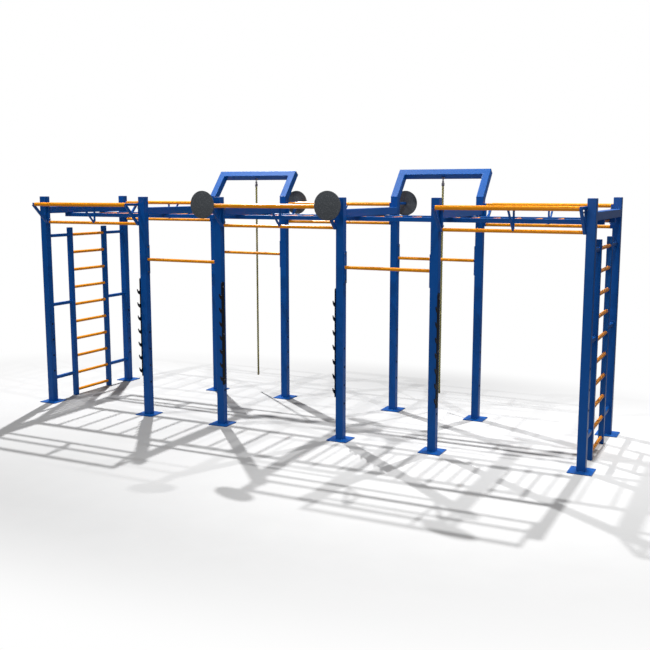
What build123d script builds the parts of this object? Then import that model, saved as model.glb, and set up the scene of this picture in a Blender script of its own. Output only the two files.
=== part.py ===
from build123d import *
from math import cos, radians, sin, tan
import os

os.makedirs("parts", exist_ok=True)

# Layout of the twelve posts: three wide bays with two narrow bays between them, in two rows
wide_bay = 1600.0
narrow_bay = 1108.0
row_spacing = 1600.0
post_height = 2750.0

# Tube sections
post_width = 90.0
post_wall = 3.0
post_corner = 6.0
rail_width = 50.0
rail_wall = 3.0
rail_corner = 4.0
stringer_width = 60.0
stringer_wall = 3.0
stringer_corner = 5.0
bracket_tube = 30.0
mid_bracket_tube = 20.0
bracket_wall = 2.0
connector_width = 40.0
round_wall = 3.0

# Base plates
plate_width = 250.0
plate_thickness = 8.0
plate_corner = 8.0
anchor_spacing = 200.0
anchor_hole = 14.0

# Adjustment holes through the posts
pin_hole = 17.0
pin_hole_first = 425.0
pin_hole_pitch = 212.0
pin_hole_count = 4

# Plastic caps
cap_thickness = 3.0
cap_depth = 15.0
cap_clearance = 0.3

# Crossbeams and the overhead ladder
crossbeam_top = 2620.0
rail_spacing = 700.0
rung_pitch = 240.0
rung_diameter = 30.0

# Pull-up bars
upper_bar_diameter = 48.0
upper_bar_y = 1050.0
upper_bar_z = 2652.0
inner_bar_diameter = 38.0
inner_bar_z = 2655.0
lower_bar_diameter = 38.0
lower_bar_z = 2417.0
narrow_bar_z = 1978.0

# Brackets that hold the bars
bracket_tip = 1069.0
bracket_top = 2672.0
bracket_foot = 2397.0
bracket_tip_depth = 47.0
mid_bracket_tip_depth = 20.0
mid_bracket_offset = 25.0
weld_gap = 0.2

# End plates of the bars in the narrow bays
end_plate_height = 355.0
end_plate_width = 70.0
end_plate_thickness = 10.0

# Target discs
disc_diameter = 320.0
disc_thickness = 10.0
disc_y = 1150.0
disc_z = 2664.0
disc_arm = 30.0
disc_edge = 2.0

# Leaning arches that carry the ropes
arch_lean = 41.0
arch_leg = 394.0

# Rope hangers: a U-bolt, a shackle and a ferrule with a lug
u_wire = 10.0
u_half_width = 15.0
u_bend = 9.0
u_drop = 24.0
u_clearance = 0.5
nut_width = 17.0
nut_height = 8.0
washer_diameter = 21.0
washer_thickness = 2.5
thread_end = 5.0
shackle_wire = 8.0
shackle_radius = 12.0
link_clearance = 0.3
pin_drop = 39.4
pin_clearance = 0.05
shackle_eye = 16.0
shackle_head = 12.0
shackle_head_height = 5.0
lug_width = 20.0
lug_thickness = 10.0
lug_length = 16.0
ferrule_diameter = 38.0
ferrule_height = 40.0
ferrule_edge = 3.0
rope_diameter = 28.0
rope_length = 2655.0

# Barbell rack combs
comb_thickness = 10.0
comb_width = 55.0
comb_proud = 7.0
comb_foot = 500.0
comb_height = 1245.0
comb_corner = 20.0
hook_count = 7
hook_first = 615.0
hook_pitch = 166.0
hook_reach = 53.0
hook_drop = 75.0
hook_bulge = 14.0
hook_root = 6.0
hook_tip_radius = 4.0
notch_radius = 15.0
notch_depth = 27.0
comb_bolt_heights = (560.0, 1117.0, 1690.0)

# Climbing ladders at both ends
ladder_height = 2330.0
ladder_rung_count = 10
ladder_rung_first = 72.0
ladder_rung_diameter = 40.0
connector_heights = (317.0, 1311.0, 2232.0)

# Fasteners
bolt_diameter = 12.0
bolt_head = 19.0
bolt_head_height = 7.5
bolt_washer = 24.0
bolt_washer_thickness = 2.0
bolt_clearance = 0.5
bolt_grip = 16.0
bracket_bolt_inset = 60.0
end_plate_bolt_inset = 22.0
overrun = 1.0

# Places worked out from the layout
inner_x = wide_bay / 2
middle_x = inner_x + narrow_bay
outer_x = middle_x + wide_bay
station_x = [-outer_x, -middle_x, -inner_x, inner_x, middle_x, outer_x]
row_y = row_spacing / 2
rows = {"front": -1, "back": 1}
half_post = post_width / 2
half_rail = rail_width / 2
half_stringer = stringer_width / 2
# The side of each post that looks into its wide bay
wide_side = [1, -1, 1, -1, 1, -1]
# The posts that carry an arch, and those beside a narrow bay
inner_posts = [1, 2, 3, 4]
narrow_bays = {"left": (1, 2), "right": (3, 4)}
wide_bays = {"left": (0, 1), "middle": (2, 3), "right": (4, 5)}

crossbeam_z = crossbeam_top - half_post
rail_z = crossbeam_top - post_width - half_rail
rail_y = rail_spacing / 2
end_plate_bolts = end_plate_height / 2 - end_plate_bolt_inset
bracket_bolts = (bracket_foot + bracket_bolt_inset, bracket_top - bracket_tube - bracket_bolt_inset / 2)
comb_bolt_y = -row_y - half_post - comb_proud + comb_width / 2
hole_heights = [pin_hole_first + pin_hole_pitch * i for i in range(pin_hole_count)]

# Directions of the leaning arches
lean_y = sin(radians(arch_lean))
lean_z = cos(radians(arch_lean))
lean = Vector(0, lean_y, lean_z)
bend_z = post_height - half_post * tan(radians(arch_lean / 2))
bend_normal = Vector(0, sin(radians(arch_lean / 2)), cos(radians(arch_lean / 2)))
beam_y = row_y + arch_leg * lean_y
beam_z = bend_z + arch_leg * lean_z

# Axes of the rope hangers
hook_y = beam_y - (half_post + u_drop) * lean_y
hook_z = beam_z - (half_post + u_drop) * lean_z
pin_z = hook_z - pin_drop
ferrule_top = pin_z - lug_length
rope_top = ferrule_top - ferrule_height
rope_x = {side: (station_x[a] + station_x[b]) / 2 for side, (a, b) in narrow_bays.items()}


def along_y(x, y, z):
    """A plane that faces along +Y, with its own x along +X."""
    return Plane(origin=(x, y, z), x_dir=(1, 0, 0), z_dir=(0, 1, 0))


def along_lean(x, distance):
    """A plane across the leaning arch, a distance up its legs from the bend at the post."""
    place = Vector(x, row_y, bend_z) + lean * distance
    return Plane(origin=place, x_dir=(1, 0, 0), z_dir=lean)


def low_face(station, side, depth):
    """The lower X of a piece of this depth that lies on one side face of a post."""
    face = station_x[station] + side * half_post
    return face if side > 0 else face - depth


# Base plates: flat steel feet with four anchor holes, welded under the posts
with BuildPart() as base_plates:
    with BuildSketch():
        with Locations(*[(x, s * row_y) for x in station_x for s in rows.values()]):
            RectangleRounded(plate_width, plate_width, plate_corner)
            with GridLocations(anchor_spacing, anchor_spacing, 2, 2):
                Circle(anchor_hole / 2, mode=Mode.SUBTRACT)
    extrude(amount=plate_thickness)
base_plates.part.label = "base_plates"
export_step(base_plates.part, "parts/base_plates.step")

# Posts: square tube, cut off square under a cap, or mitred where an arch leans back from it
for row, s in rows.items():
    for i, x in enumerate(station_x):
        carries_arch = row == "back" and i in inner_posts
        top = post_height if carries_arch else post_height - cap_thickness
        bolts = {wide_side[i]: [(s * row_y, z) for z in bracket_bolts]}
        if i in inner_posts:
            bolts[-wide_side[i]] = [(s * row_y, narrow_bar_z + d * end_plate_bolts) for d in (-1, 1)]
            if row == "front":
                bolts[wide_side[i]] += [(comb_bolt_y, z) for z in comb_bolt_heights]
        with BuildPart() as post:
            with BuildSketch(Plane.XY.offset(plate_thickness)):
                with Locations((x, s * row_y)):
                    RectangleRounded(post_width, post_width, post_corner)
                    bore = post_width - 2 * post_wall
                    RectangleRounded(bore, bore, post_corner - post_wall, mode=Mode.SUBTRACT)
            extrude(amount=top - plate_thickness)
            with BuildSketch(Plane.YZ.offset(x - half_post - overrun)):
                with Locations(*[(s * row_y, z) for z in hole_heights]):
                    Circle(pin_hole / 2)
            extrude(amount=post_width + 2 * overrun, mode=Mode.SUBTRACT)
            for side, places in bolts.items():
                with BuildSketch(Plane.YZ.offset(x + side * half_post)):
                    with Locations(*places):
                        Circle(bolt_diameter / 2 + bolt_clearance)
                extrude(amount=-side * (post_wall + overrun), mode=Mode.SUBTRACT)
            if carries_arch:
                mitre = Plane(origin=(x, row_y, bend_z), x_dir=(1, 0, 0), z_dir=bend_normal)
                split(bisect_by=mitre, keep=Keep.BOTTOM)
        name = f"post_{row}_{i + 1}"
        post.part.label = name
        export_step(post.part, f"parts/{name}.step")

# Tube caps: plastic flanges with a plug that goes into the tube end
post_plug = post_width - 2 * post_wall - 2 * cap_clearance
rail_plug = rail_width - 2 * rail_wall - 2 * cap_clearance
stringer_plug = stringer_width - 2 * stringer_wall - 2 * cap_clearance
capped_posts = [
    (x, s * row_y)
    for s in rows.values()
    for i, x in enumerate(station_x)
    if s < 0 or i not in inner_posts
]
stringer_places = [(e * outer_x, s * rail_y) for e in (-1, 1) for s in (-1, 1)]
with BuildPart() as tube_caps:
    with BuildSketch(Plane.XY.offset(post_height - cap_thickness)):
        with Locations(*capped_posts):
            RectangleRounded(post_width, post_width, post_corner)
    extrude(amount=cap_thickness)
    with BuildSketch(Plane.XY.offset(post_height - cap_thickness)):
        with Locations(*capped_posts):
            RectangleRounded(post_plug, post_plug, post_corner - post_wall)
    extrude(amount=-cap_depth)
    for start, way in ((ladder_height - cap_thickness, 1), (cap_thickness, -1)):
        with BuildSketch(Plane.XY.offset(start)):
            with Locations(*stringer_places):
                RectangleRounded(stringer_width, stringer_width, stringer_corner)
        extrude(amount=way * cap_thickness)
        with BuildSketch(Plane.XY.offset(start)):
            with Locations(*stringer_places):
                RectangleRounded(stringer_plug, stringer_plug, stringer_corner - stringer_wall)
        extrude(amount=-way * cap_depth)
    for end in (-1, 1):
        with BuildSketch(Plane.YZ.offset(end * (outer_x + half_post - cap_thickness))):
            with Locations((-rail_y, rail_z), (rail_y, rail_z)):
                RectangleRounded(rail_width, rail_width, rail_corner)
        extrude(amount=end * cap_thickness)
        with BuildSketch(Plane.YZ.offset(end * (outer_x + half_post - cap_thickness))):
            with Locations((-rail_y, rail_z), (rail_y, rail_z)):
                RectangleRounded(rail_plug, rail_plug, rail_corner - rail_wall)
        extrude(amount=-end * cap_depth)
tube_caps.part.label = "tube_caps"
export_step(tube_caps.part, "parts/tube_caps.step")

# Crossbeams: square tube between the front and back post of each station
for i, x in enumerate(station_x):
    with BuildPart() as crossbeam:
        with BuildSketch(along_y(x, -row_y + half_post, crossbeam_z)):
            RectangleRounded(post_width, post_width, post_corner)
            bore = post_width - 2 * post_wall
            RectangleRounded(bore, bore, post_corner - post_wall, mode=Mode.SUBTRACT)
        extrude(amount=row_spacing - post_width)
    name = f"crossbeam_{i + 1}"
    crossbeam.part.label = name
    export_step(crossbeam.part, f"parts/{name}.step")

# Overhead ladder: two long rails under the crossbeams
for row, s in rows.items():
    with BuildPart() as rail:
        with BuildSketch(Plane.YZ.offset(-outer_x - half_post + cap_thickness)):
            with Locations((s * rail_y, rail_z)):
                RectangleRounded(rail_width, rail_width, rail_corner)
                bore = rail_width - 2 * rail_wall
                RectangleRounded(bore, bore, rail_corner - rail_wall, mode=Mode.SUBTRACT)
        extrude(amount=2 * (outer_x + half_post - cap_thickness))
    name = f"monkey_rail_{row}"
    rail.part.label = name
    export_step(rail.part, f"parts/{name}.step")

# Round rungs between the rails of the overhead ladder
rung_count = 2 * int((outer_x + half_post) / rung_pitch)
rung_places = [(i - (rung_count + 1) / 2) * rung_pitch for i in range(rung_count + 2)]
with BuildPart() as monkey_rungs:
    with BuildSketch(along_y(0, -rail_y + half_rail, rail_z)):
        with Locations(*[(x, 0) for x in rung_places]):
            Circle(rung_diameter / 2)
            Circle(rung_diameter / 2 - round_wall, mode=Mode.SUBTRACT)
    extrude(amount=rail_spacing - rail_width)
monkey_rungs.part.label = "monkey_rungs"
export_step(monkey_rungs.part, "parts/monkey_rungs.step")

# Pull-up bars of the wide bays, outside the post rows, each its own piece
bar_inset = half_post + bracket_tube
for row, s in rows.items():
    for bay, (a, b) in wide_bays.items():
        with BuildPart() as bar:
            with BuildSketch(Plane.YZ.offset(station_x[a] + bar_inset)):
                with Locations((s * upper_bar_y, upper_bar_z)):
                    Circle(upper_bar_diameter / 2)
                    Circle(upper_bar_diameter / 2 - round_wall, mode=Mode.SUBTRACT)
            extrude(amount=wide_bay - 2 * bar_inset)
        name = f"pullup_bar_{row}_{bay}"
        bar.part.label = name
        export_step(bar.part, f"parts/{name}.step")

# Inner and lower bars of the wide bays, one above the other in line with the posts
inline_bars = {"inner": (inner_bar_diameter, inner_bar_z), "lower": (lower_bar_diameter, lower_bar_z)}
for kind, (diameter, z) in inline_bars.items():
    with BuildPart() as bars:
        with BuildSketch(*[Plane.YZ.offset(station_x[a] + bar_inset) for a, b in wide_bays.values()]):
            with Locations((-row_y, z), (row_y, z)):
                Circle(diameter / 2)
                Circle(diameter / 2 - round_wall, mode=Mode.SUBTRACT)
        extrude(amount=wide_bay - 2 * bar_inset)
    name = f"{kind}_bars"
    bars.part.label = name
    export_step(bars.part, f"parts/{name}.step")


def bracket_regions(s, tube, tip, top, foot, tip_depth):
    """Outlines of a bracket's upright, arm and brace, and of the bore of each, in Y and Z."""
    wall = bracket_wall
    back = row_y - tube / 2
    front = row_y + tube / 2
    under = top - tube
    line = top - tip_depth - tip
    drop = tube / cos(radians(45))
    skin = wall / cos(radians(45))
    upright = [(back, foot), (front, foot), (front, under - weld_gap), (back, under - weld_gap)]
    upright_bore = [
        (back + wall, foot + wall),
        (front - wall, foot + wall),
        (front - wall, under),
        (back + wall, under),
    ]
    arm = [(back, under), (tip, under), (tip, top), (back, top)]
    arm_bore = [
        (back + wall, under - weld_gap),
        (front - wall, under - weld_gap),
        (front - wall, under + wall),
        (tip - wall, under + wall),
        (tip - wall, top - wall),
        (back + wall, top - wall),
    ]
    low_y, high_y = front + weld_gap, under - line
    brace = [(0, line), (high_y, high_y + line), (high_y, high_y + line + drop), (0, line + drop)]
    brace_bore = [
        (0, line + skin),
        (high_y, high_y + line + skin),
        (high_y, high_y + line + drop - skin),
        (0, line + drop - skin),
    ]
    window = [(low_y, foot), (tip, foot), (tip, under - weld_gap), (low_y, under - weld_gap)]
    bore_window = [
        (low_y + wall, foot + wall),
        (tip - wall, foot + wall),
        (tip - wall, under),
        (low_y + wall, under),
    ]
    outlines = (upright, arm, brace, window)
    bores = (upright_bore, arm_bore, brace_bore, bore_window)
    return [[[(s * y, z) for y, z in shape] for shape in group] for group in (outlines, bores)]


# Brackets: triangles of small square tube, bolted to the posts at the bay ends, free at mid bay
for row, s in rows.items():
    end_planes = [low_face(i, wide_side[i], bracket_tube) for i in range(len(station_x))]
    mid_x = [(station_x[a] + station_x[b]) / 2 + mid_bracket_offset for a, b in wide_bays.values()]
    mid_planes = [x - mid_bracket_tube / 2 for x in mid_x]
    end_sizes = (bracket_tube, bracket_tip, bracket_top, bracket_foot, bracket_tip_depth)
    mid_top = inner_bar_z + mid_bracket_tube / 2
    mid_sizes = (mid_bracket_tube, upper_bar_y, mid_top, lower_bar_z, mid_bracket_tip_depth)
    kinds = (
        (end_planes, bracket_tube, bracket_regions(s, *end_sizes)),
        (mid_planes, mid_bracket_tube, bracket_regions(s, *mid_sizes)),
    )
    with BuildPart() as brackets:
        for planes, tube, (outlines, bores) in kinds:
            upright, arm, brace, window = outlines
            for shape in (upright, arm):
                with BuildSketch(*[Plane.YZ.offset(x) for x in planes]):
                    Polygon(*shape, align=None)
                extrude(amount=tube)
            with BuildSketch(*[Plane.YZ.offset(x) for x in planes]):
                Polygon(*brace, align=None)
                Polygon(*window, align=None, mode=Mode.INTERSECT)
            extrude(amount=tube)
        for planes, tube, (outlines, bores) in kinds:
            upright, arm, brace, window = bores
            inside = tube - 2 * bracket_wall
            for shape in (upright, arm):
                with BuildSketch(*[Plane.YZ.offset(x + bracket_wall) for x in planes]):
                    Polygon(*shape, align=None)
                extrude(amount=inside, mode=Mode.SUBTRACT)
            with BuildSketch(*[Plane.YZ.offset(x + bracket_wall) for x in planes]):
                Polygon(*brace, align=None)
                Polygon(*window, align=None, mode=Mode.INTERSECT)
            extrude(amount=inside, mode=Mode.SUBTRACT)
        with BuildSketch(*[Plane.YZ.offset(x - overrun) for x in mid_planes]):
            with Locations((s * upper_bar_y, upper_bar_z)):
                Circle(upper_bar_diameter / 2 + weld_gap)
            with Locations((s * row_y, inner_bar_z)):
                Circle(inner_bar_diameter / 2 + weld_gap)
            with Locations((s * row_y, lower_bar_z)):
                Circle(lower_bar_diameter / 2 + weld_gap)
        extrude(amount=mid_bracket_tube + 2 * overrun, mode=Mode.SUBTRACT)
        with BuildSketch(*[Plane.YZ.offset(x - overrun) for x in end_planes]):
            with Locations(*[(s * row_y, z) for z in bracket_bolts]):
                Circle(bolt_diameter / 2 + bolt_clearance)
        extrude(amount=bracket_tube + 2 * overrun, mode=Mode.SUBTRACT)
    name = f"bar_brackets_{row}"
    brackets.part.label = name
    export_step(brackets.part, f"parts/{name}.step")

# Bars across the narrow bays, between flat end plates
narrow_inset = half_post + end_plate_thickness
for row, s in rows.items():
    with BuildPart() as narrow_bars:
        with BuildSketch(*[Plane.YZ.offset(station_x[a] + narrow_inset) for a, b in narrow_bays.values()]):
            with Locations((s * row_y, narrow_bar_z)):
                Circle(lower_bar_diameter / 2)
                Circle(lower_bar_diameter / 2 - round_wall, mode=Mode.SUBTRACT)
        extrude(amount=narrow_bay - 2 * narrow_inset)
    name = f"narrow_bars_{row}"
    narrow_bars.part.label = name
    export_step(narrow_bars.part, f"parts/{name}.step")

# End plates of the narrow bars, bolted flat to the posts
with BuildPart() as bar_end_plates:
    faces = [low_face(i, -wide_side[i], end_plate_thickness) for i in inner_posts]
    with BuildSketch(*[Plane.YZ.offset(x) for x in faces]):
        with Locations((-row_y, narrow_bar_z), (row_y, narrow_bar_z)):
            Rectangle(end_plate_width, end_plate_height)
            with Locations((0, -end_plate_bolts), (0, end_plate_bolts)):
                Circle(bolt_diameter / 2 + bolt_clearance, mode=Mode.SUBTRACT)
    extrude(amount=end_plate_thickness)
bar_end_plates.part.label = "bar_end_plates"
export_step(bar_end_plates.part, "parts/bar_end_plates.step")

# Target discs: flat round plates that stand out from the four middle posts
disc_stations = {"left": 2, "right": 3}
for row, s in rows.items():
    for side, i in disc_stations.items():
        with BuildPart() as disc:
            with BuildSketch(along_y(station_x[i], s * disc_y - disc_thickness / 2, disc_z)):
                Circle(disc_diameter / 2)
            extrude(amount=disc_thickness)
            chamfer(disc.edges().filter_by(GeomType.CIRCLE), disc_edge)
        name = f"target_disc_{row}_{side}"
        disc.part.label = name
        export_step(disc.part, f"parts/{name}.step")

# Arms that carry the discs, from the outer face of the post to the back of the disc
arm_reach = disc_y - disc_thickness / 2 - row_y - half_post
with BuildPart() as disc_arms:
    for s in rows.values():
        start = row_y + half_post if s > 0 else -disc_y + disc_thickness / 2
        with BuildSketch(*[along_y(station_x[i], start, disc_z) for i in disc_stations.values()]):
            Rectangle(disc_arm, disc_arm)
            bore = disc_arm - 2 * bracket_wall
            Rectangle(bore, bore, mode=Mode.SUBTRACT)
        extrude(amount=arm_reach)
disc_arms.part.label = "disc_arms"
export_step(disc_arms.part, "parts/disc_arms.step")

# Arches: two legs mitred on the back posts and a beam mitred between them, leaning back
bore = post_width - 2 * post_wall
for side, (a, b) in narrow_bays.items():
    pieces = []
    for i, way in ((a, 1), (b, -1)):
        x = station_x[i]
        corner_normal = (Vector(way, 0, 0) + lean).normalized()
        with BuildPart() as leg:
            with BuildSketch(along_lean(x, -post_width)):
                RectangleRounded(post_width, post_width, post_corner)
                RectangleRounded(bore, bore, post_corner - post_wall, mode=Mode.SUBTRACT)
            extrude(amount=arch_leg + 2 * post_width)
            bend = Plane(origin=(x, row_y, bend_z), x_dir=(1, 0, 0), z_dir=bend_normal)
            split(bisect_by=bend, keep=Keep.TOP)
            corner = Vector(x, beam_y, beam_z)
            split(bisect_by=Plane(origin=corner, z_dir=corner_normal), keep=Keep.BOTTOM)
        pieces.append(leg.part)
    with BuildPart() as beam:
        start = Vector(station_x[a] - half_post, beam_y, beam_z)
        with BuildSketch(Plane(origin=start, x_dir=lean, z_dir=(1, 0, 0))):
            RectangleRounded(post_width, post_width, post_corner)
            RectangleRounded(bore, bore, post_corner - post_wall, mode=Mode.SUBTRACT)
        extrude(amount=narrow_bay + post_width)
        for i, way in ((a, 1), (b, -1)):
            corner_normal = (Vector(way, 0, 0) + lean).normalized()
            corner = Vector(station_x[i], beam_y, beam_z) + corner_normal * weld_gap
            split(bisect_by=Plane(origin=corner, z_dir=corner_normal), keep=Keep.TOP)
        with BuildSketch(along_lean(rope_x[side], arch_leg - half_post - overrun)):
            with Locations((-u_half_width, 0), (u_half_width, 0)):
                Circle(u_wire / 2 + u_clearance)
        extrude(amount=post_width + 2 * overrun, mode=Mode.SUBTRACT)
    pieces.append(beam.part)
    with BuildPart() as arch:
        add(pieces)
    name = f"rope_arch_{side}"
    arch.part.label = name
    export_step(arch.part, f"parts/{name}.step")

# U-bolts through the beams, with washers and nuts on top
face_to_nut = arch_leg + half_post
with BuildPart() as hanger_u_bolts:
    for x in rope_x.values():
        across = Plane(origin=(x, hook_y, hook_z), x_dir=(1, 0, 0), z_dir=(0, -lean_z, lean_y))
        stem = u_drop + post_width + washer_thickness + nut_height + thread_end
        legs = ((-u_half_width, stem), (-u_half_width, 0), (u_half_width, 0), (u_half_width, stem))
        with BuildLine(across) as bow:
            FilletPolyline(*legs, radius=u_bend)
        with BuildSketch(Plane(origin=bow.line @ 0, z_dir=bow.line % 0)):
            Circle(u_wire / 2)
        sweep(path=bow.line)
    for x in rope_x.values():
        with BuildSketch(along_lean(x, face_to_nut)):
            with Locations((-u_half_width, 0), (u_half_width, 0)):
                Circle(washer_diameter / 2)
                Circle(u_wire / 2 + link_clearance, mode=Mode.SUBTRACT)
        extrude(amount=washer_thickness)
        with BuildSketch(along_lean(x, face_to_nut + washer_thickness + weld_gap)):
            with Locations((-u_half_width, 0), (u_half_width, 0)):
                RegularPolygon(nut_width / 2, 6, major_radius=False)
                Circle(u_wire / 2 + link_clearance, mode=Mode.SUBTRACT)
        extrude(amount=nut_height)
hanger_u_bolts.part.label = "hanger_u_bolts"
export_step(hanger_u_bolts.part, "parts/hanger_u_bolts.step")

# Shackles: a bent bow that hangs in the U-bolt, with eyes for a cross pin
crown = u_wire / 2 + shackle_wire / 2 + link_clearance
bow_z = hook_z + crown - shackle_radius
eye_inner = shackle_radius - shackle_wire / 2
for side, x in rope_x.items():
    with BuildPart() as shackle:
        with BuildLine(Plane(origin=(x, hook_y, bow_z), x_dir=(0, 1, 0), z_dir=(1, 0, 0))) as bow:
            low = pin_z - bow_z + pin_clearance
            left = Line((-shackle_radius, low), (-shackle_radius, 0))
            turn = ThreePointArc(left @ 1, (0, shackle_radius), (shackle_radius, 0))
            Line(turn @ 1, (shackle_radius, low))
        with BuildSketch(Plane(origin=bow.line @ 0, z_dir=bow.line % 0)):
            Circle(shackle_wire / 2)
        sweep(path=bow.line)
        for start in (-shackle_radius - shackle_wire / 2, eye_inner):
            with BuildSketch(along_y(x, hook_y + start, pin_z)):
                Circle(shackle_eye / 2)
            extrude(amount=shackle_wire)
        with BuildSketch(along_y(x, hook_y - shackle_eye - overrun, pin_z)):
            Circle(shackle_wire / 2 + pin_clearance)
        extrude(amount=2 * (shackle_eye + overrun), mode=Mode.SUBTRACT)
        outer_face = shackle_radius + shackle_wire / 2
        with BuildSketch(along_y(x, hook_y - outer_face - weld_gap, pin_z)):
            Circle(shackle_wire / 2)
        extrude(amount=2 * outer_face + link_clearance)
        with BuildSketch(along_y(x, hook_y - outer_face - weld_gap - shackle_head_height, pin_z)):
            Circle(shackle_head / 2)
        extrude(amount=shackle_head_height)
    name = f"shackle_{side}"
    shackle.part.label = name
    export_step(shackle.part, f"parts/{name}.step")

# Ferrules: a pressed steel cup on the top of each rope, with a lug on the shackle pin
for side, x in rope_x.items():
    with BuildPart() as ferrule:
        with BuildSketch(Plane.XY.offset(rope_top)):
            with Locations((x, hook_y)):
                Circle(ferrule_diameter / 2)
        extrude(amount=ferrule_height)
        chamfer(ferrule.edges().filter_by(GeomType.CIRCLE), ferrule_edge)
        with BuildSketch(along_y(x, hook_y - lug_thickness / 2, pin_z)):
            Circle(lug_width / 2)
            with Locations((0, lug_length / 2)):
                Rectangle(lug_width, lug_length)
            Circle(shackle_wire / 2 + pin_clearance, mode=Mode.SUBTRACT)
        extrude(amount=lug_thickness)
    name = f"rope_ferrule_{side}"
    ferrule.part.label = name
    export_step(ferrule.part, f"parts/{name}.step")

# Climbing ropes: one straight hanging length below each ferrule
for side, x in rope_x.items():
    with BuildPart() as rope:
        with BuildSketch(Plane.XY.offset(rope_top)):
            with Locations((x, hook_y)):
                Circle(rope_diameter / 2)
        extrude(amount=-rope_length)
    name = f"climbing_rope_{side}"
    rope.part.label = name
    export_step(rope.part, f"parts/{name}.step")

# Barbell racks: flat steel combs on the wide-bay sides of the four middle front posts
strip_front = -row_y - half_post - comb_proud
with BuildSketch() as hook:
    with BuildLine():
        quarter = notch_radius * sin(radians(45))
        notch_y = notch_radius - notch_depth
        top_line = Line((hook_root, notch_y), (0, notch_y))
        low = (quarter - notch_radius, notch_y - quarter)
        notch = ThreePointArc(top_line @ 1, low, (-notch_radius, -notch_depth))
        tip_inner = (2 * hook_tip_radius - hook_reach, -hook_tip_radius)
        rise = TangentArc(notch @ 1, tip_inner, tangent=(-1, 0))
        tip_outer = (-hook_reach, -hook_tip_radius)
        tip = ThreePointArc(rise @ 1, (hook_tip_radius - hook_reach, 0), tip_outer)
        chord = Vector(hook_reach, hook_tip_radius - hook_drop)
        belly = Vector(*tip_outer) + chord / 2 + chord.rotate(Axis.Z, -90).normalized() * hook_bulge
        outer = ThreePointArc(tip @ 1, belly, (0, -hook_drop))
        Polyline(outer @ 1, (hook_root, -hook_drop), top_line @ 0)
    make_face()
for i in inner_posts:
    with BuildPart() as comb:
        with BuildSketch(Plane.YZ.offset(low_face(i, wide_side[i], comb_thickness))) as profile:
            with Locations((strip_front + comb_width / 2, comb_foot + comb_height / 2)):
                Rectangle(comb_width, comb_height)
            front_corner = profile.vertices().group_by(Axis.Y)[-1].sort_by(Axis.X)[0]
            fillet(front_corner, comb_corner)
            with Locations(*[(strip_front, hook_first + hook_pitch * k) for k in range(hook_count)]):
                add(hook.sketch)
            with Locations(*[(comb_bolt_y, z) for z in comb_bolt_heights]):
                Circle(bolt_diameter / 2 + bolt_clearance, mode=Mode.SUBTRACT)
        extrude(amount=comb_thickness)
    name = f"barbell_rack_{i}"
    comb.part.label = name
    export_step(comb.part, f"parts/{name}.step")

# Climbing ladders at both ends: two square stringers, round rungs and short tubes to the posts
rung_heights = [ladder_rung_first + rung_pitch * k for k in range(ladder_rung_count)]
for side, end in (("left", -1), ("right", 1)):
    with BuildPart() as stringers:
        with BuildSketch(Plane.XY.offset(cap_thickness)):
            with Locations((end * outer_x, -rail_y), (end * outer_x, rail_y)):
                RectangleRounded(stringer_width, stringer_width, stringer_corner)
                bore = stringer_width - 2 * stringer_wall
                RectangleRounded(bore, bore, stringer_corner - stringer_wall, mode=Mode.SUBTRACT)
        extrude(amount=ladder_height - 2 * cap_thickness)
    name = f"ladder_stringers_{side}"
    stringers.part.label = name
    export_step(stringers.part, f"parts/{name}.step")
    with BuildPart() as rungs:
        with BuildSketch(*[along_y(end * outer_x, -rail_y + half_stringer, z) for z in rung_heights]):
            Circle(ladder_rung_diameter / 2)
            Circle(ladder_rung_diameter / 2 - round_wall, mode=Mode.SUBTRACT)
        extrude(amount=rail_spacing - stringer_width)
    name = f"ladder_rungs_{side}"
    rungs.part.label = name
    export_step(rungs.part, f"parts/{name}.step")

# Short square tubes that hold the ladder stringers to the end posts
gap_to_post = row_y - half_post - rail_y - half_stringer
with BuildPart() as ladder_connectors:
    for start in (-row_y + half_post, rail_y + half_stringer):
        planes = [along_y(e * outer_x, start, z) for e in (-1, 1) for z in connector_heights]
        with BuildSketch(*planes):
            Rectangle(connector_width, connector_width)
            bore = connector_width - 2 * round_wall
            Rectangle(bore, bore, mode=Mode.SUBTRACT)
        extrude(amount=gap_to_post)
ladder_connectors.part.label = "ladder_connectors"
export_step(ladder_connectors.part, "parts/ladder_connectors.step")

# Hexagon bolts with fixed washers: each head lies on a bracket, an end plate or a comb
bolt_places = []
for s in rows.values():
    for i in range(len(station_x)):
        face = station_x[i] + wide_side[i] * (half_post + bracket_tube)
        bolt_places += [(face, wide_side[i], s * row_y, z, bracket_tube) for z in bracket_bolts]
    for i in inner_posts:
        face = station_x[i] - wide_side[i] * (half_post + end_plate_thickness)
        for d in (-1, 1):
            z = narrow_bar_z + d * end_plate_bolts
            bolt_places.append((face, -wide_side[i], s * row_y, z, end_plate_thickness))
for i in inner_posts:
    face = station_x[i] + wide_side[i] * (half_post + comb_thickness)
    bolt_places += [(face, wide_side[i], comb_bolt_y, z, comb_thickness) for z in comb_bolt_heights]
with BuildPart() as hex_bolts:
    for face, side, y, z, clamped in bolt_places:
        with BuildSketch(Plane.YZ.offset(face)):
            with Locations((y, z)):
                Circle(bolt_washer / 2)
        extrude(amount=side * bolt_washer_thickness)
        with BuildSketch(Plane.YZ.offset(face)):
            with Locations((y, z)):
                RegularPolygon(bolt_head / 2, 6, major_radius=False)
        extrude(amount=side * (bolt_washer_thickness + bolt_head_height))
        with BuildSketch(Plane.YZ.offset(face)):
            with Locations((y, z)):
                Circle(bolt_diameter / 2)
        extrude(amount=-side * (clamped + bolt_grip))
hex_bolts.part.label = "hex_bolts"
export_step(hex_bolts.part, "parts/hex_bolts.step")
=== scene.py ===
from math import ceil, cos, pi, radians, sin, tan

import bmesh
import bpy
from mathutils import Matrix, Vector


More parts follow.
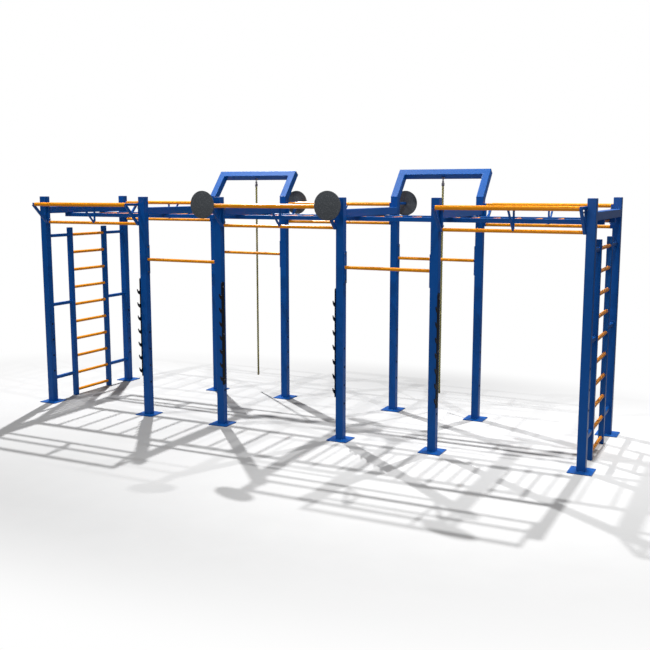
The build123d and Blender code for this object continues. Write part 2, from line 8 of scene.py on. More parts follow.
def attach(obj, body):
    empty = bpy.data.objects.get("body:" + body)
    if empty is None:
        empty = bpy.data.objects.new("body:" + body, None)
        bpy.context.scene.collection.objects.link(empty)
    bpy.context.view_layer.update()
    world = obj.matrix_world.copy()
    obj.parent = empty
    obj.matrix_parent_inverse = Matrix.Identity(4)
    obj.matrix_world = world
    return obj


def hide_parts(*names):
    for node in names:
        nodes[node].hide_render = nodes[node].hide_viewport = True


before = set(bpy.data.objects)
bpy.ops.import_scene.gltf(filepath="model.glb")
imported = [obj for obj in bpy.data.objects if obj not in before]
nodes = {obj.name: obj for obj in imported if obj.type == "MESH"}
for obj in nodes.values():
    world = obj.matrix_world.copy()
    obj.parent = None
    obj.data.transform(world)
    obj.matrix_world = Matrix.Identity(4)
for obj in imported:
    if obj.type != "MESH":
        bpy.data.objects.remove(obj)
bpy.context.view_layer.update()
scene = bpy.context.scene

east = Vector((1, 0, 0))
north = Vector((0, 1, 0))
z_axis = Vector((0, 0, 1))
# The four corners of a square about its middle, in turn
corners = ((-1, -1), (1, -1), (1, 1), (-1, 1))

# Studio: a plain pale floor that runs out to white, four theatre lamps high round the station, a
# soft box overhead and one in front, and the camera where the photograph was taken.
scene.view_settings.view_transform = "Standard"


def linear(code):
    """The linear colour of an sRGB hex value."""
    parts = [int(code[i:i + 2], 16) / 255 for i in (1, 3, 5)]
    return (*[c / 12.92 if c <= 0.04045 else ((c + 0.055) / 1.055) ** 2.4 for c in parts], 1.0)


def add_node(tree, kind, settings=None, values=None, links=None):
    """Adds a node with its settings, its own input values and links into its inputs."""
    node = tree.nodes.new(kind)
    for name, value in (settings or {}).items():
        setattr(node, name, value)
    for name, value in (values or {}).items():
        node.inputs[name].default_value = value
    for name, output in (links or {}).items():
        tree.links.new(output, node.inputs[name])
    return node


def add_object(name, data):
    """An object that shows the data, linked into the scene."""
    added = bpy.data.objects.new(name, data)
    scene.collection.objects.link(added)
    return added


def hang_lamp(name, kind, place, target, power):
    """Hangs a lamp at a place and turns it to its target."""
    data = bpy.data.lights.new(name, kind)
    data.energy = power
    lamp = add_object(name, data)
    lamp.location = place
    lamp.rotation_euler = (Vector(target) - Vector(place)).to_track_quat("-Z", "Y").to_euler()
    return lamp


camera_lens = bpy.data.cameras.new("photo_camera")
camera_lens.lens = 50.0
camera_lens.sensor_width = 36.0
camera_lens.clip_end = 200.0
camera = add_object("photo_camera", camera_lens)
camera.location = (5.0953, -9.9039, 2.8185)
camera.rotation_euler = (radians(81.567), 0.0, radians(26.277))
scene.camera = camera

# Four theatre lamps with soft-edged cones hang in a ring over the station and throw its shadows:
# place, what the lamp points at, cone angle in degrees and power.
theatre_lamps = (
    ("back_left_lamp", (-5.54, 4.52, 11.05), (-1.5, -4.0, 0.0), 92.0, 9400.0),
    ("back_right_lamp", (3.49, 4.93, 10.74), (6.5, -2.0, 0.0), 74.0, 7000.0),
    ("front_right_lamp", (4.75, -2.15, 10.70), (3.5, 1.5, 0.0), 110.0, 1600.0),
    ("front_left_lamp", (-4.68, -3.25, 10.69), (-3.5, 1.5, 0.0), 110.0, 1800.0),
)
for name, place, target, cone, power in theatre_lamps:
    lamp = hang_lamp(name, "SPOT", place, target, power)
    lamp.data.spot_size = radians(cone)
    lamp.data.spot_blend = 1.0
    lamp.data.shadow_soft_size = 0.11
# Two soft boxes light the station only, not the floor: place, target, length, width and power.
unlit_floor = bpy.data.collections.new("floor_that_soft_boxes_leave_out")
soft_boxes = (
    ("front_box", (2.2, -11.5, 5.6), (0.0, 0.0, 0.8), 3.0, 3.0, 300.0),
    ("overhead_box", (-3.0, 0.2, 9.5), (-3.0, 0.2, 0.0), 7.4, 2.6, 150.0),
)
for name, place, target, length, width, power in soft_boxes:
    box = hang_lamp(name, "AREA", place, target, power)
    box.data.shape = "RECTANGLE"
    box.data.size = length
    box.data.size_y = width
    box.light_linking.receiver_collection = unlit_floor

surroundings = bpy.data.worlds.new("white_surroundings")
surroundings.use_nodes = True
air = surroundings.node_tree
air.nodes.clear()
seen = add_node(air, "ShaderNodeBackground", {}, {"Color": linear("#FFFFFF"), "Strength": 1.0})
light = add_node(air, "ShaderNodeBackground", {}, {"Color": linear("#FFFFFF"), "Strength": 0.15})
ray = add_node(air, "ShaderNodeLightPath")
blend = add_node(air, "ShaderNodeMixShader", {}, {}, {
    0: ray.outputs["Is Camera Ray"], 1: light.outputs[0], 2: seen.outputs[0]})
add_node(air, "ShaderNodeOutputWorld", {}, {}, {"Surface": blend.outputs[0]})
scene.world = surroundings

floor_reach = 40.0
floor_level = -0.001
floor_mesh = bpy.data.meshes.new("studio_floor")
floor_mesh.from_pydata(
    [(x * floor_reach, y * floor_reach, floor_level) for x, y in corners], [], [(0, 1, 2, 3)])
studio_floor = add_object("studio_floor", floor_mesh)
unlit_floor.objects.link(studio_floor)
unlit_floor.collection_objects[0].light_linking.link_state = "EXCLUDE"


def start_material(name, values):
    """A new material with its tree and its shader, which starts with these values."""
    material = bpy.data.materials.new(name)
    material.use_nodes = True
    shader = material.node_tree.nodes["Principled BSDF"]
    for label, value in values.items():
        shader.inputs[label].default_value = value
    return material, material.node_tree, shader


def object_place(tree):
    """Where a point lies on its object, in metres."""
    return add_node(tree, "ShaderNodeTexCoord").outputs["Object"]


def noise(tree, place, size, detail):
    """Clouds about size metres across, as a factor from 0 to 1."""
    clouds = add_node(tree, "ShaderNodeTexNoise", {}, {"Scale": 1 / size, "Detail": detail}, {
        "Vector": place})
    return clouds.outputs["Fac"]


def mixed(tree, factor, low, high):
    """A colour that goes from one hex value to another as the factor goes from 0 to 1."""
    mix = add_node(tree, "ShaderNodeMix", {"data_type": "RGBA"}, {6: linear(low), 7: linear(high)}, {
        0: factor})
    return mix.outputs[2]


def set_relief(tree, shader, height, strength, distance, invert=False):
    """Raises a shader's surface by a height, in bump alone."""
    bump = add_node(tree, "ShaderNodeBump", {"invert": invert}, {
        "Strength": strength, "Distance": distance}, {"Height": height})
    tree.links.new(bump.outputs[0], shader.inputs["Normal"])


# Matt white studio floor paint: rolled, so it has a faint roller stipple; it fades to white far
# out. Only the camera sees it so bright: the station itself gets the little light of a dark hall.
floor_paint, tree, shader = start_material("matt_white_floor_paint", {
    "Roughness": 0.85, "Specular IOR Level": 0.1})
place = object_place(tree)
clouds = noise(tree, place, 0.35, 3.0)
tree.links.new(mixed(tree, clouds, "#BBBBBB", "#C0C0C0"), shader.inputs["Base Color"])
middle = add_node(tree, "ShaderNodeVectorMath", {"operation": "MULTIPLY_ADD"}, {
    1: (0.6, 1.0, 1.0), 2: (0.0, 0.9, 0.0)}, {0: place})
distance = add_node(tree, "ShaderNodeVectorMath", {"operation": "LENGTH"}, {}, {0: middle.outputs[0]})
fade = add_node(tree, "ShaderNodeMapRange", {"interpolation_type": "SMOOTHSTEP"}, {
    "From Min": 2.9, "From Max": 4.9}, {"Value": distance.outputs["Value"]})
white = add_node(tree, "ShaderNodeEmission", {}, {"Color": linear("#FFFFFF"), "Strength": 1.0})
both = add_node(tree, "ShaderNodeMixShader", {}, {}, {
    0: fade.outputs["Result"], 1: shader.outputs[0], 2: white.outputs[0]})
dim = add_node(tree, "ShaderNodeBsdfDiffuse", {}, {"Color": linear("#8A8A8C")})
ray = add_node(tree, "ShaderNodeLightPath")
shown = add_node(tree, "ShaderNodeMixShader", {}, {}, {
    0: ray.outputs["Is Camera Ray"], 1: dim.outputs[0], 2: both.outputs[0]})
tree.links.new(shown.outputs[0], tree.nodes["Material Output"].inputs["Surface"])
floor_mesh.materials.append(floor_paint)

# Climbing ropes: three twisted strands of natural fibre, each with its own yarns, laid into one
# straight hanging rope of 2.655 m below the pressed ferrule. The lower end is bare but whipped.
narrow_bays = {"left": -1.354, "right": 1.354}
hanger_y = 1.013219
rope_top = 2.883056
rope_length = 2.655
rope_lay = 0.098
strand_centre = 0.0072
strand_radius = 0.0070
strand_sides = 12
ring_step = 0.0048
# The whipping: where it starts above the rope's end, its turns, and one turn as (rise, radius)
whipping_foot = 0.012
whipping_turns = 14
whipping_core = 0.0125
twine_pitch = 0.0024
twine_turn = ((0.0003, 0.0142), (0.0012, 0.0149), (0.0021, 0.0142))

# Natural rope fibre, hawser laid: olive straw on the crowns of the strands, with painted shade, dark
# brown, down in the grooves between them, and fine yarns that run against the lay. Yarns are 4 mm, the
# fibres on them about 1 mm.
rope_fibre, tree, shader = start_material("laid_natural_rope_fibre", {
    "Roughness": 0.86, "Specular IOR Level": 0.2})
along = add_node(tree, "ShaderNodeUVMap", {"uv_map": "strand"}).outputs["UV"]
split = add_node(tree, "ShaderNodeSeparateXYZ", {}, {}, {0: along})
run = add_node(tree, "ShaderNodeMath", {"operation": "MULTIPLY"}, {1: 1 / 0.030}, {0: split.outputs["Y"]})
turn = add_node(tree, "ShaderNodeMath", {"operation": "MULTIPLY"}, {1: 7.0}, {0: split.outputs["X"]})
slant = add_node(tree, "ShaderNodeMath", {"operation": "ADD"}, {}, {0: run.outputs[0], 1: turn.outputs[0]})
wound = add_node(tree, "ShaderNodeMath", {"operation": "MULTIPLY"}, {1: 2 * pi}, {0: slant.outputs[0]})
yarns = add_node(tree, "ShaderNodeMath", {"operation": "SINE"}, {}, {0: wound.outputs[0]})
stretch = add_node(tree, "ShaderNodeMapping", {}, {"Scale": (60.0, 220.0, 1.0)}, {"Vector": along})
fibres = add_node(tree, "ShaderNodeTexNoise", {}, {"Scale": 1.0, "Detail": 4.0, "Roughness": 0.7}, {
    "Vector": stretch.outputs[0]})
crown = add_node(tree, "ShaderNodeAttribute", {"attribute_name": "crown"}).outputs["Fac"]
# Painted shade: the colour darkens to near black down in the grooves between the strands
depth = add_node(tree, "ShaderNodeMapRange", {}, {"From Min": 0.60, "From Max": 0.94}, {"Value": crown})
fibre_colour = mixed(tree, fibres.outputs["Fac"], "#9A9348", "#D8D088")
fibre_and_groove_shade = add_node(tree, "ShaderNodeMix", {"data_type": "RGBA"}, {6: linear("#16110A")}, {
    0: depth.outputs["Result"], 7: fibre_colour})
tree.links.new(fibre_and_groove_shade.outputs[2], shader.inputs["Base Color"])
yarn_bump = add_node(tree, "ShaderNodeBump", {}, {"Strength": 0.6, "Distance": 0.0012}, {
    "Height": yarns.outputs[0]})
fibre_bump = add_node(tree, "ShaderNodeBump", {}, {"Strength": 0.5, "Distance": 0.0006}, {
    "Height": fibres.outputs["Fac"], "Normal": yarn_bump.outputs[0]})
tree.links.new(fibre_bump.outputs[0], shader.inputs["Normal"])

# Waxed whipping twine: straw brown, tightly wound and a little glossy, in turns of about 2 mm
twine, tree, shader = start_material("waxed_whipping_twine", {"Roughness": 0.55})
stretch = add_node(tree, "ShaderNodeMapping", {}, {"Scale": (150.0, 150.0, 700.0)}, {
    "Vector": object_place(tree)})
fuzz = noise(tree, stretch.outputs[0], 1.0, 3.0)
tree.links.new(mixed(tree, fuzz, "#5E5838", "#A0976A"), shader.inputs["Base Color"])
set_relief(tree, shader, fuzz, 0.5, 0.0005)


def add_piece(name, data, body, slot, *replaced):
    """A finished piece that rides on a body and stands for the CAD nodes that it replaces."""
    piece = add_object(name, data)
    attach(piece, body)
    if replaced:
        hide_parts(*replaced)
    return piece


def settle(name, mesh, material, body, slot, *replaced, smooth_below=32.0):
    """Makes a bmesh a finished piece, smooth where its faces meet at less than so many degrees."""
    bmesh.ops.recalc_face_normals(mesh, faces=mesh.faces)
    data = bpy.data.meshes.new(name)
    mesh.to_mesh(data)
    mesh.free()
    data.shade_smooth()
    data.set_sharp_from_angle(angle=radians(smooth_below))
    data.materials.append(material)
    return add_piece(name, data, body, slot, *replaced)


def plain_mesh(source):
    """The mesh that a curve or a grown object comes to; the object itself is removed."""
    bpy.context.view_layer.update()
    ready = source.evaluated_get(bpy.context.evaluated_depsgraph_get())
    data = bpy.data.meshes.new_from_object(ready)
    bpy.data.objects.remove(source)
    return data


def bridge(mesh, low, high):
    """Joins two rings of vertices with faces; a ring of one vertex closes an end."""
    count = max(len(low), len(high))
    faces = []
    for k in range(count):
        after = (k + 1) % count
        if len(low) == 1:
            face = (low[0], high[k], high[after])
        elif len(high) == 1:
            face = (low[k], low[after], high[0])
        else:
            face = (low[k], low[after], high[after], high[k])
        faces.append(mesh.faces.new(face))
    return faces


def lathe(mesh, profile, place, axis, side, steps):
    """Turns a profile of (distance along axis, radius) about an axis; ends on the axis close it."""
    across = axis.cross(side)
    turns = [2 * pi * k / steps for k in range(steps)]
    rings = []
    for reach, radius in profile:
        centre = place + axis * reach
        spots = [centre + (side * cos(t) + across * sin(t)) * radius for t in turns]
        rings.append([mesh.verts.new(spot) for spot in (spots if radius > 0 else [centre])])
    for low, high in zip(rings, rings[1:]):
        bridge(mesh, low, high)


for side, x in narrow_bays.items():
    route = bpy.data.curves.new(f"rope_route_{side}", "CURVE")
    route.dimensions = "3D"
    line = route.splines.new("NURBS")
    drops = (0.0, 0.25, 0.8, 1.35, 1.9, 2.42, rope_length)
    line.points.add(len(drops) - 1)
    for point, drop in zip(line.points, drops):
        point.co = (x, hanger_y, rope_top - drop, 1.0)
    line.order_u = 3
    line.use_endpoint_u = True
    line.resolution_u = 64
    read = plain_mesh(add_object(route.name, route))
    path = [v.co.copy() for v in read.vertices]
    bpy.data.meshes.remove(read)

    reached = [0.0]
    for a, b in zip(path, path[1:]):
        reached.append(reached[-1] + (b - a).length)
    count = ceil(reached[-1] / ring_step)
    rope = bmesh.new()
    uv_layer = rope.loops.layers.uv.new("strand")
    crown_layer = rope.verts.layers.float.new("crown")
    for strand in range(3):
        rings = []
        at = 0
        for k in range(count + 1):
            go = reached[-1] * k / count
            while at < len(path) - 2 and reached[at + 1] < go:
                at += 1
            step = path[at + 1] - path[at]
            centre = path[at] + step * ((go - reached[at]) / step.length)
            down = step.normalized()
            across = (east - down * down.x).normalized()
            beside = down.cross(across)
            turn = 2 * pi * (go / rope_lay + strand / 3)
            out = across * cos(turn) + beside * sin(turn)
            over = beside * cos(turn) - across * sin(turn)
            ring = []
            for j in range(strand_sides):
                t = 2 * pi * j / strand_sides
                far = strand_centre + strand_radius * cos(t)
                vert = rope.verts.new(centre + out * far + over * (strand_radius * sin(t)))
                vert[crown_layer] = min(1.0, (vert.co - centre).length / (strand_centre + strand_radius))
                ring.append(vert)
            rings.append((go, ring))
        for (go_a, low), (go_b, high) in zip(rings, rings[1:]):
            for j, face in enumerate(bridge(rope, low, high)):
                left = j / strand_sides
                right = (j + 1) / strand_sides
                places = ((left, go_a), (right, go_a), (right, go_b), (left, go_b))
                for loop, uv in zip(face.loops, places):
                    loop[uv_layer].uv = uv
        rope.faces.new(rings[0][1])
        rope.faces.new(rings[-1][1])
    rope_piece = settle(f"rope_{side}_strands", rope, rope_fibre, f"rope_{side}", "rope_fibre",
                        f"climbing_rope_{side}", smooth_below=60.0)

    whipping = bmesh.new()
    foot = Vector((x, hanger_y, rope_top - rope_length))
    whipping_end = whipping_foot + whipping_turns * twine_pitch
    profile = [(whipping_foot, 0.0), (whipping_foot, whipping_core)]
    for turn in range(whipping_turns):
        low = whipping_foot + turn * twine_pitch
        profile += [(low + rise, radius) for rise, radius in twine_turn]
    profile += [(whipping_end, whipping_core), (whipping_end, 0.0)]
    lathe(whipping, profile, foot, z_axis, east, 24)
    whipping_piece = settle(f"rope_{side}_whipping", whipping, twine, f"rope_{side}", "rope_fibre")

# Posts: twelve 90 x 90 mm square steel tubes in two rows of six, with adjustment holes through
# them, welded to their base plates and painted with blue polyester powder, sprayed and baked.


def powder_coat(name, deep, full, rubbed_and_highlit, sheen, roughness, specular, peel):
    """Gloss polyester powder baked on steel: even colour, faint orange peel, edges paler in patches, rubbed
    and with a painted highlight.
    """
    coat, tree, shader = start_material(name, {
        "Specular IOR Level": specular, "Specular Tint": linear(sheen)})
    place = object_place(tree)
    # The film's thickness drifts over about 0.4 m, and the spray leaves finer clouds of 60 mm
    cloud = noise(tree, place, 0.06, 3.0)
    film = add_node(tree, "ShaderNodeMix", {"data_type": "FLOAT"}, {0: 0.3}, {
        2: noise(tree, place, 0.4, 2.0), 3: cloud})
    body = mixed(tree, film.outputs[0], deep, full)
    # Powder draws back from the 3 mm edges, so they are paler in patches: partly rubbed through, partly a
    # painted highlight
    rounded = add_node(tree, "ShaderNodeBevel", {"samples": 4}, {"Radius": 0.003})
    flat = add_node(tree, "ShaderNodeNewGeometry")
    same = add_node(tree, "ShaderNodeVectorMath", {"operation": "DOT_PRODUCT"}, {}, {
        0: rounded.outputs[0], 1: flat.outputs["Normal"]})
    edge = add_node(tree, "ShaderNodeMapRange", {}, {
        "From Min": 0.99, "From Max": 0.8, "To Min": 0.0, "To Max": 0.7}, {"Value": same.outputs["Value"]})
    rub_and_highlight = add_node(tree, "ShaderNodeMath", {"operation": "MULTIPLY"}, {}, {
        0: edge.outputs["Result"], 1: noise(tree, place, 0.05, 4.0)})
    # Painted highlight, with some rubbing: the edge colour is paler than the body wherever the edge lies
    colour = add_node(tree, "ShaderNodeMix", {"data_type": "RGBA"}, {7: linear(rubbed_and_highlit)}, {
        0: rub_and_highlight.outputs[0], 6: body})
    tree.links.new(colour.outputs[2], shader.inputs["Base Color"])
    shine = add_node(tree, "ShaderNodeMapRange", {}, {
        "To Min": roughness - 0.05, "To Max": roughness + 0.07}, {"Value": cloud})
    tree.links.new(shine.outputs["Result"], shader.inputs["Roughness"])
    # Real orange peel is 1 to 3 mm; it is drawn at 7 mm so that it shows at all from here
    set_relief(tree, shader, noise(tree, place, 0.007, 1.0), peel, 0.0006)
    return coat


def refinish(material, *names):
    """Gives CAD nodes whose shape is right their real finish."""
    for name in names:
        for slot in nodes[name].material_slots:
            slot.material = material


# Layout that the later sections share, as the posts stand: stations along X, rows along Y, and
# the side of each station that its wide bay lies on
stations = (-3.508, -1.908, -0.8, 0.8, 1.908, 3.508)
rows = {"front": -1, "back": 1}
row_y = 0.8
half_post = 0.045
post_height = 2.750
wide_side = (1, -1, 1, -1, 1, -1)
inner_posts = (1, 2, 3, 4)
blue_coat = powder_coat(
    "blue_gloss_powder_coat", "#044890", "#0A54A4", "#2E63B4", "#B4CEF2", 0.30, 0.46, 0.10)
refinish(blue_coat, *[f"post_{row}_{i}" for row in rows for i in range(1, 7)])

# Base plates: 250 mm square steel flats, 8 mm thick, with sheared and broken edges and four
# anchor holes each. They lie on the floor, and the posts are welded on all round.
# How much is broken off the edges of sheared plates, and of the combs that a laser cut
sheared_edge = 0.0012
laser_edge = 0.0010


def soften_plates(name, node, edge, coat, slot):
    """Puts a copy with broken edges in the place of a CAD node of flat plates."""
    mesh = bmesh.new()
    mesh.from_mesh(nodes[node].data)
    bmesh.ops.remove_doubles(mesh, verts=mesh.verts, dist=0.00002)
    bmesh.ops.dissolve_limit(mesh, angle_limit=radians(1.0), verts=mesh.verts, edges=mesh.edges)
    sharp = [e for e in mesh.edges if len(e.link_faces) == 2 and e.calc_face_angle(0.0) > radians(40)]
    bmesh.ops.bevel(mesh, geom=sharp, offset=edge, segments=2, profile=0.5,
                    affect="EDGES", clamp_overlap=True)
    settle(name, mesh, coat, "root", slot, node, smooth_below=25.0)


soften_plates("base_plate_set", "base_plates", sheared_edge, blue_coat, "blue_paint")

# Plastic caps: moulded blue inserts pressed into the open tube ends, slightly domed, with a soft
# rounded rim. One tree makes a whole set; the sizes are those of the tube.

# Low density polyethylene, moulded: softer sheen than the paint, with a fine 1.5 mm texture
cap_plastic, tree, shader = start_material("moulded_blue_polyethylene", {
    "Roughness": 0.48, "Specular IOR Level": 0.3})
place = object_place(tree)
clouds = noise(tree, place, 0.03, 2.0)
tree.links.new(mixed(tree, clouds, "#143A86", "#22529F"), shader.inputs["Base Color"])
set_relief(tree, shader, noise(tree, place, 0.0015, 2.0), 0.3, 0.0003)


def start_tree(name, sizes):
    """A Geometry Nodes group with named inputs; returns it with its input and output nodes."""
    group = bpy.data.node_groups.new(name, "GeometryNodeTree")
    group.interface.new_socket("Geometry", in_out="INPUT", socket_type="NodeSocketGeometry")
    for label, (kind, value) in sizes.items():
        socket = group.interface.new_socket(label, in_out="INPUT", socket_type=f"NodeSocket{kind}")
        if value is not None:
            socket.default_value = value
    group.interface.new_socket("Geometry", in_out="OUTPUT", socket_type="NodeSocketGeometry")
    return group, add_node(group, "NodeGroupInput").outputs, add_node(group, "NodeGroupOutput").inputs


def source_mesh(name, points, lines=(), ways=()):
    """The points and lines that a tree grows on, with the way each point faces if that is given."""
    data = bpy.data.meshes.new(name)
    data.from_pydata(points, lines, [])
    if ways:
        layer = data.attributes.new("facing", "FLOAT_VECTOR", "POINT")
        layer.data.foreach_set("vector", [c for way in ways for c in way])
    return add_object(name, data)


def grow(name, group, source, values, slot, *replaced):
    """Runs a tree on its source and keeps the result as one plain mesh piece of the fixed rig."""
    growth = source.modifiers.new("growth", "NODES")
    growth.node_group = group
    for item in group.interface.items_tree:
        if item.in_out == "INPUT" and item.name in values:
            growth[item.identifier] = values[item.name]
    data = plain_mesh(source)
    data.name = name
    add_piece(name, data, "root", slot, *replaced)


def lifted(tree, geometry, height, share, below=None):
    """Geometry moved up by a share of a height, and by the whole height of what lies below it."""
    rise = add_node(tree, "ShaderNodeMath", {"operation": "MULTIPLY_ADD"}, {1: share, 2: 0.0}, {0: height})
    if below is not None:
        tree.links.new(below, rise.inputs[2])
    lift = add_node(tree, "ShaderNodeCombineXYZ", {}, {}, {"Z": rise.outputs[0]})
    moved = add_node(tree, "GeometryNodeTransform", {}, {}, {
        "Geometry": geometry, "Translation": lift.outputs[0]})
    return moved.outputs[0]


def facing_turn(tree):
    """The rotation that stands a piece up along the facing of its point."""
    facing = add_node(tree, "GeometryNodeInputNamedAttribute", {"data_type": "FLOAT_VECTOR"}, {
        "Name": "facing"})
    turned = add_node(tree, "FunctionNodeAlignRotationToVector", {"axis": "Z"}, {}, {
        "Vector": facing.outputs["Attribute"]})
    return turned.outputs[0]


def end_tree(tree, geometry, material, result, smooth=False):
    """Makes what a tree has grown real, gives it its material and hands it out."""
    real = add_node(tree, "GeometryNodeRealizeInstances", {}, {}, {0: geometry}).outputs[0]
    if smooth:
        real = add_node(tree, "GeometryNodeSetShadeSmooth", {}, {}, {"Geometry": real}).outputs[0]
    finish = add_node(tree, "GeometryNodeSetMaterial", {}, {}, {"Geometry": real, "Material": material})
    tree.links.new(finish.outputs[0], result[0])


def set_out(tree, points, piece, turned, material, result, smooth=False):
    """Ends a tree with a copy of its piece on every point."""
    copies = add_node(tree, "GeometryNodeInstanceOnPoints", {}, {}, {
        "Points": points, "Instance": piece, "Rotation": turned})
    end_tree(tree, copies.outputs[0], material, result, smooth)


cap_tree, given, result = start_tree("tube_cap_set", {
    "Width": ("Float", 0.09), "Thickness": ("Float", 0.003), "Dome": ("Float", 0.0015),
    "Plug": ("Float", 0.0834), "Plug Depth": ("Float", 0.015), "Plastic": ("Material", None)})
size = add_node(cap_tree, "ShaderNodeCombineXYZ", {}, {}, {
    "X": given["Width"], "Y": given["Width"], "Z": given["Thickness"]})
block = add_node(cap_tree, "GeometryNodeMeshCube", {}, {
    "Vertices X": 8, "Vertices Y": 8, "Vertices Z": 2}, {"Size": size.outputs[0]})
rim = add_node(cap_tree, "GeometryNodeSubdivisionSurface", {}, {"Level": 2}, {
    "Mesh": block.outputs["Mesh"]})
spot = add_node(cap_tree, "GeometryNodeInputPosition").outputs[0]
reach = add_node(cap_tree, "ShaderNodeVectorMath", {"operation": "LENGTH"}, {}, {0: spot})
fall = add_node(cap_tree, "ShaderNodeMapRange", {"interpolation_type": "SMOOTHSTEP"}, {
    "From Min": 0.0, "To Max": 0.0}, {
    "Value": reach.outputs["Value"], "From Max": given["Width"], "To Min": given["Dome"]})
half = add_node(cap_tree, "ShaderNodeSeparateXYZ", {}, {}, {0: spot})
above = add_node(cap_tree, "FunctionNodeCompare", {"operation": "GREATER_THAN"}, {1: 0.0}, {
    0: half.outputs["Z"]})
lift = add_node(cap_tree, "ShaderNodeCombineXYZ", {}, {}, {"Z": fall.outputs["Result"]})
domed = add_node(cap_tree, "GeometryNodeSetPosition", {}, {}, {
    "Geometry": rim.outputs["Mesh"], "Selection": above.outputs[0], "Offset": lift.outputs[0]})
plug_size = add_node(cap_tree, "ShaderNodeCombineXYZ", {}, {}, {
    "X": given["Plug"], "Y": given["Plug"], "Z": given["Plug Depth"]})
plug = add_node(cap_tree, "GeometryNodeMeshCube", {}, {
    "Vertices X": 2, "Vertices Y": 2, "Vertices Z": 2}, {"Size": plug_size.outputs[0]})
plug_in = lifted(cap_tree, plug.outputs["Mesh"], given["Plug Depth"], -0.5)
cap = add_node(cap_tree, "GeometryNodeJoinGeometry", {}, {}, {0: domed.outputs[0]})
cap_tree.links.new(plug_in, cap.inputs[0])
set_out(cap_tree, given["Geometry"], cap.outputs[0], facing_turn(cap_tree), given["Plastic"], result,
        smooth=True)

rail_y = 0.35
rail_z = 2.505
ladder_top = 2.33
half_cap = 0.0015
post_caps = {(x, s * row_y, post_height - half_cap): (0, 0, 1)
             for s in (-1, 1) for i, x in enumerate(stations) if s < 0 or i not in inner_posts}
grow("post_caps", cap_tree, source_mesh("post_cap_places", list(post_caps), ways=post_caps.values()),
     {"Plastic": cap_plastic}, "blue_plastic", "tube_caps")
rail_caps = {(e * (stations[5] + half_post - half_cap), s * rail_y, rail_z): (e, 0, 0)
             for e in (-1, 1) for s in (-1, 1)}
grow("rail_caps", cap_tree, source_mesh("rail_cap_places", list(rail_caps), ways=rail_caps.values()),
     {"Width": 0.05, "Dome": 0.0008, "Plug": 0.0434, "Plastic": cap_plastic}, "blue_plastic")
stringer_caps = {}
for e in (-1, 1):
    for s in (-1, 1):
        stringer_caps[(e * stations[5], s * rail_y, ladder_top - half_cap)] = (0, 0, 1)
        stringer_caps[(e * stations[5], s * rail_y, half_cap)] = (0, 0, -1)
grow("stringer_caps", cap_tree,
     source_mesh("stringer_cap_places", list(stringer_caps), ways=stringer_caps.values()),
     {"Width": 0.06, "Dome": 0.0008, "Plug": 0.0534, "Plastic": cap_plastic}, "blue_plastic")

# Crossbeams: six 90 mm square tubes, one from the front to the back post of each station, and
# the two long 50 mm rails under them that carry the overhead ladder. All are blue, all welded.
refinish(blue_coat, *[f"crossbeam_{i}" for i in range(1, 7)], "monkey_rail_front", "monkey_rail_back")

# Rungs and pull-up bars: round steel tube in orange gloss powder, from 30 mm rungs overhead to
# the 48 mm upper bars. They are smooth, so the lamps draw one long highlight on each.
orange_coat = powder_coat(
    "orange_gloss_powder_coat", "#E48C0C", "#EA9212", "#EA9212", "#FFE6C0", 0.24, 0.35, 0.03)
refinish(orange_coat, "monkey_rungs", "inner_bars", "lower_bars", *[f"narrow_bars_{row}" for row in rows],
         *[f"pullup_bar_{row}_{bay}" for row in rows for bay in ("left", "middle", "right")])

# Brackets: square tube welded to a triangle of upright, arm and brace. The end ones are of 30 mm
# tube, bolted to the posts; those at mid bay are of 20 mm tube, welded between the three bars.
bracket_tube = 0.030
tube_corner = 0.003
broken_edge = 0.0008
weld_gap = 0.0002


def square_section(width, corner, steps=3):
    """The rounded outline of a square tube, as (side, up) pairs."""
    reach = width / 2 - corner
    centres = ((reach, reach), (-reach, reach), (-reach, -reach), (reach, -reach))
    outline = []
    for k, (a, b) in enumerate(centres):
        for j in range(steps + 1):
            turn = radians(90 * k + 90 * j / steps)
            outline.append((a + corner * cos(turn), b + corner * sin(turn)))
    return outline


def cut_tube(mesh, centre, along, width, cuts):
    """Adds a square tube that runs along a direction through centre and is cut by two planes."""
    along = along.normalized()
    up = along.cross(east)
    rings = []
    ends = ((-1, cuts[0], broken_edge), (-1, cuts[0], 0.0), (1, cuts[1], 0.0), (1, cuts[1], broken_edge))
    for sign, (point, normal), shrink in ends:
        back = 0.0 if shrink else -sign * broken_edge
        ring = []
        for a, b in square_section(width - 2 * shrink, tube_corner):
            start = centre + east * a + up * b
            reach = (point - start).dot(normal) / along.dot(normal) + back
            ring.append(mesh.verts.new(start + along * reach))
        rings.append(ring)
    for low, high in zip(rings, rings[1:]):
        bridge(mesh, low, high)
    mesh.faces.new(rings[0])
    mesh.faces.new(rings[-1])


def straight_tube(mesh, start, end, along, width):
    """Adds a square tube from start to end, cut off square at both."""
    cut_tube(mesh, start, along, width, ((start, along), (end, along)))


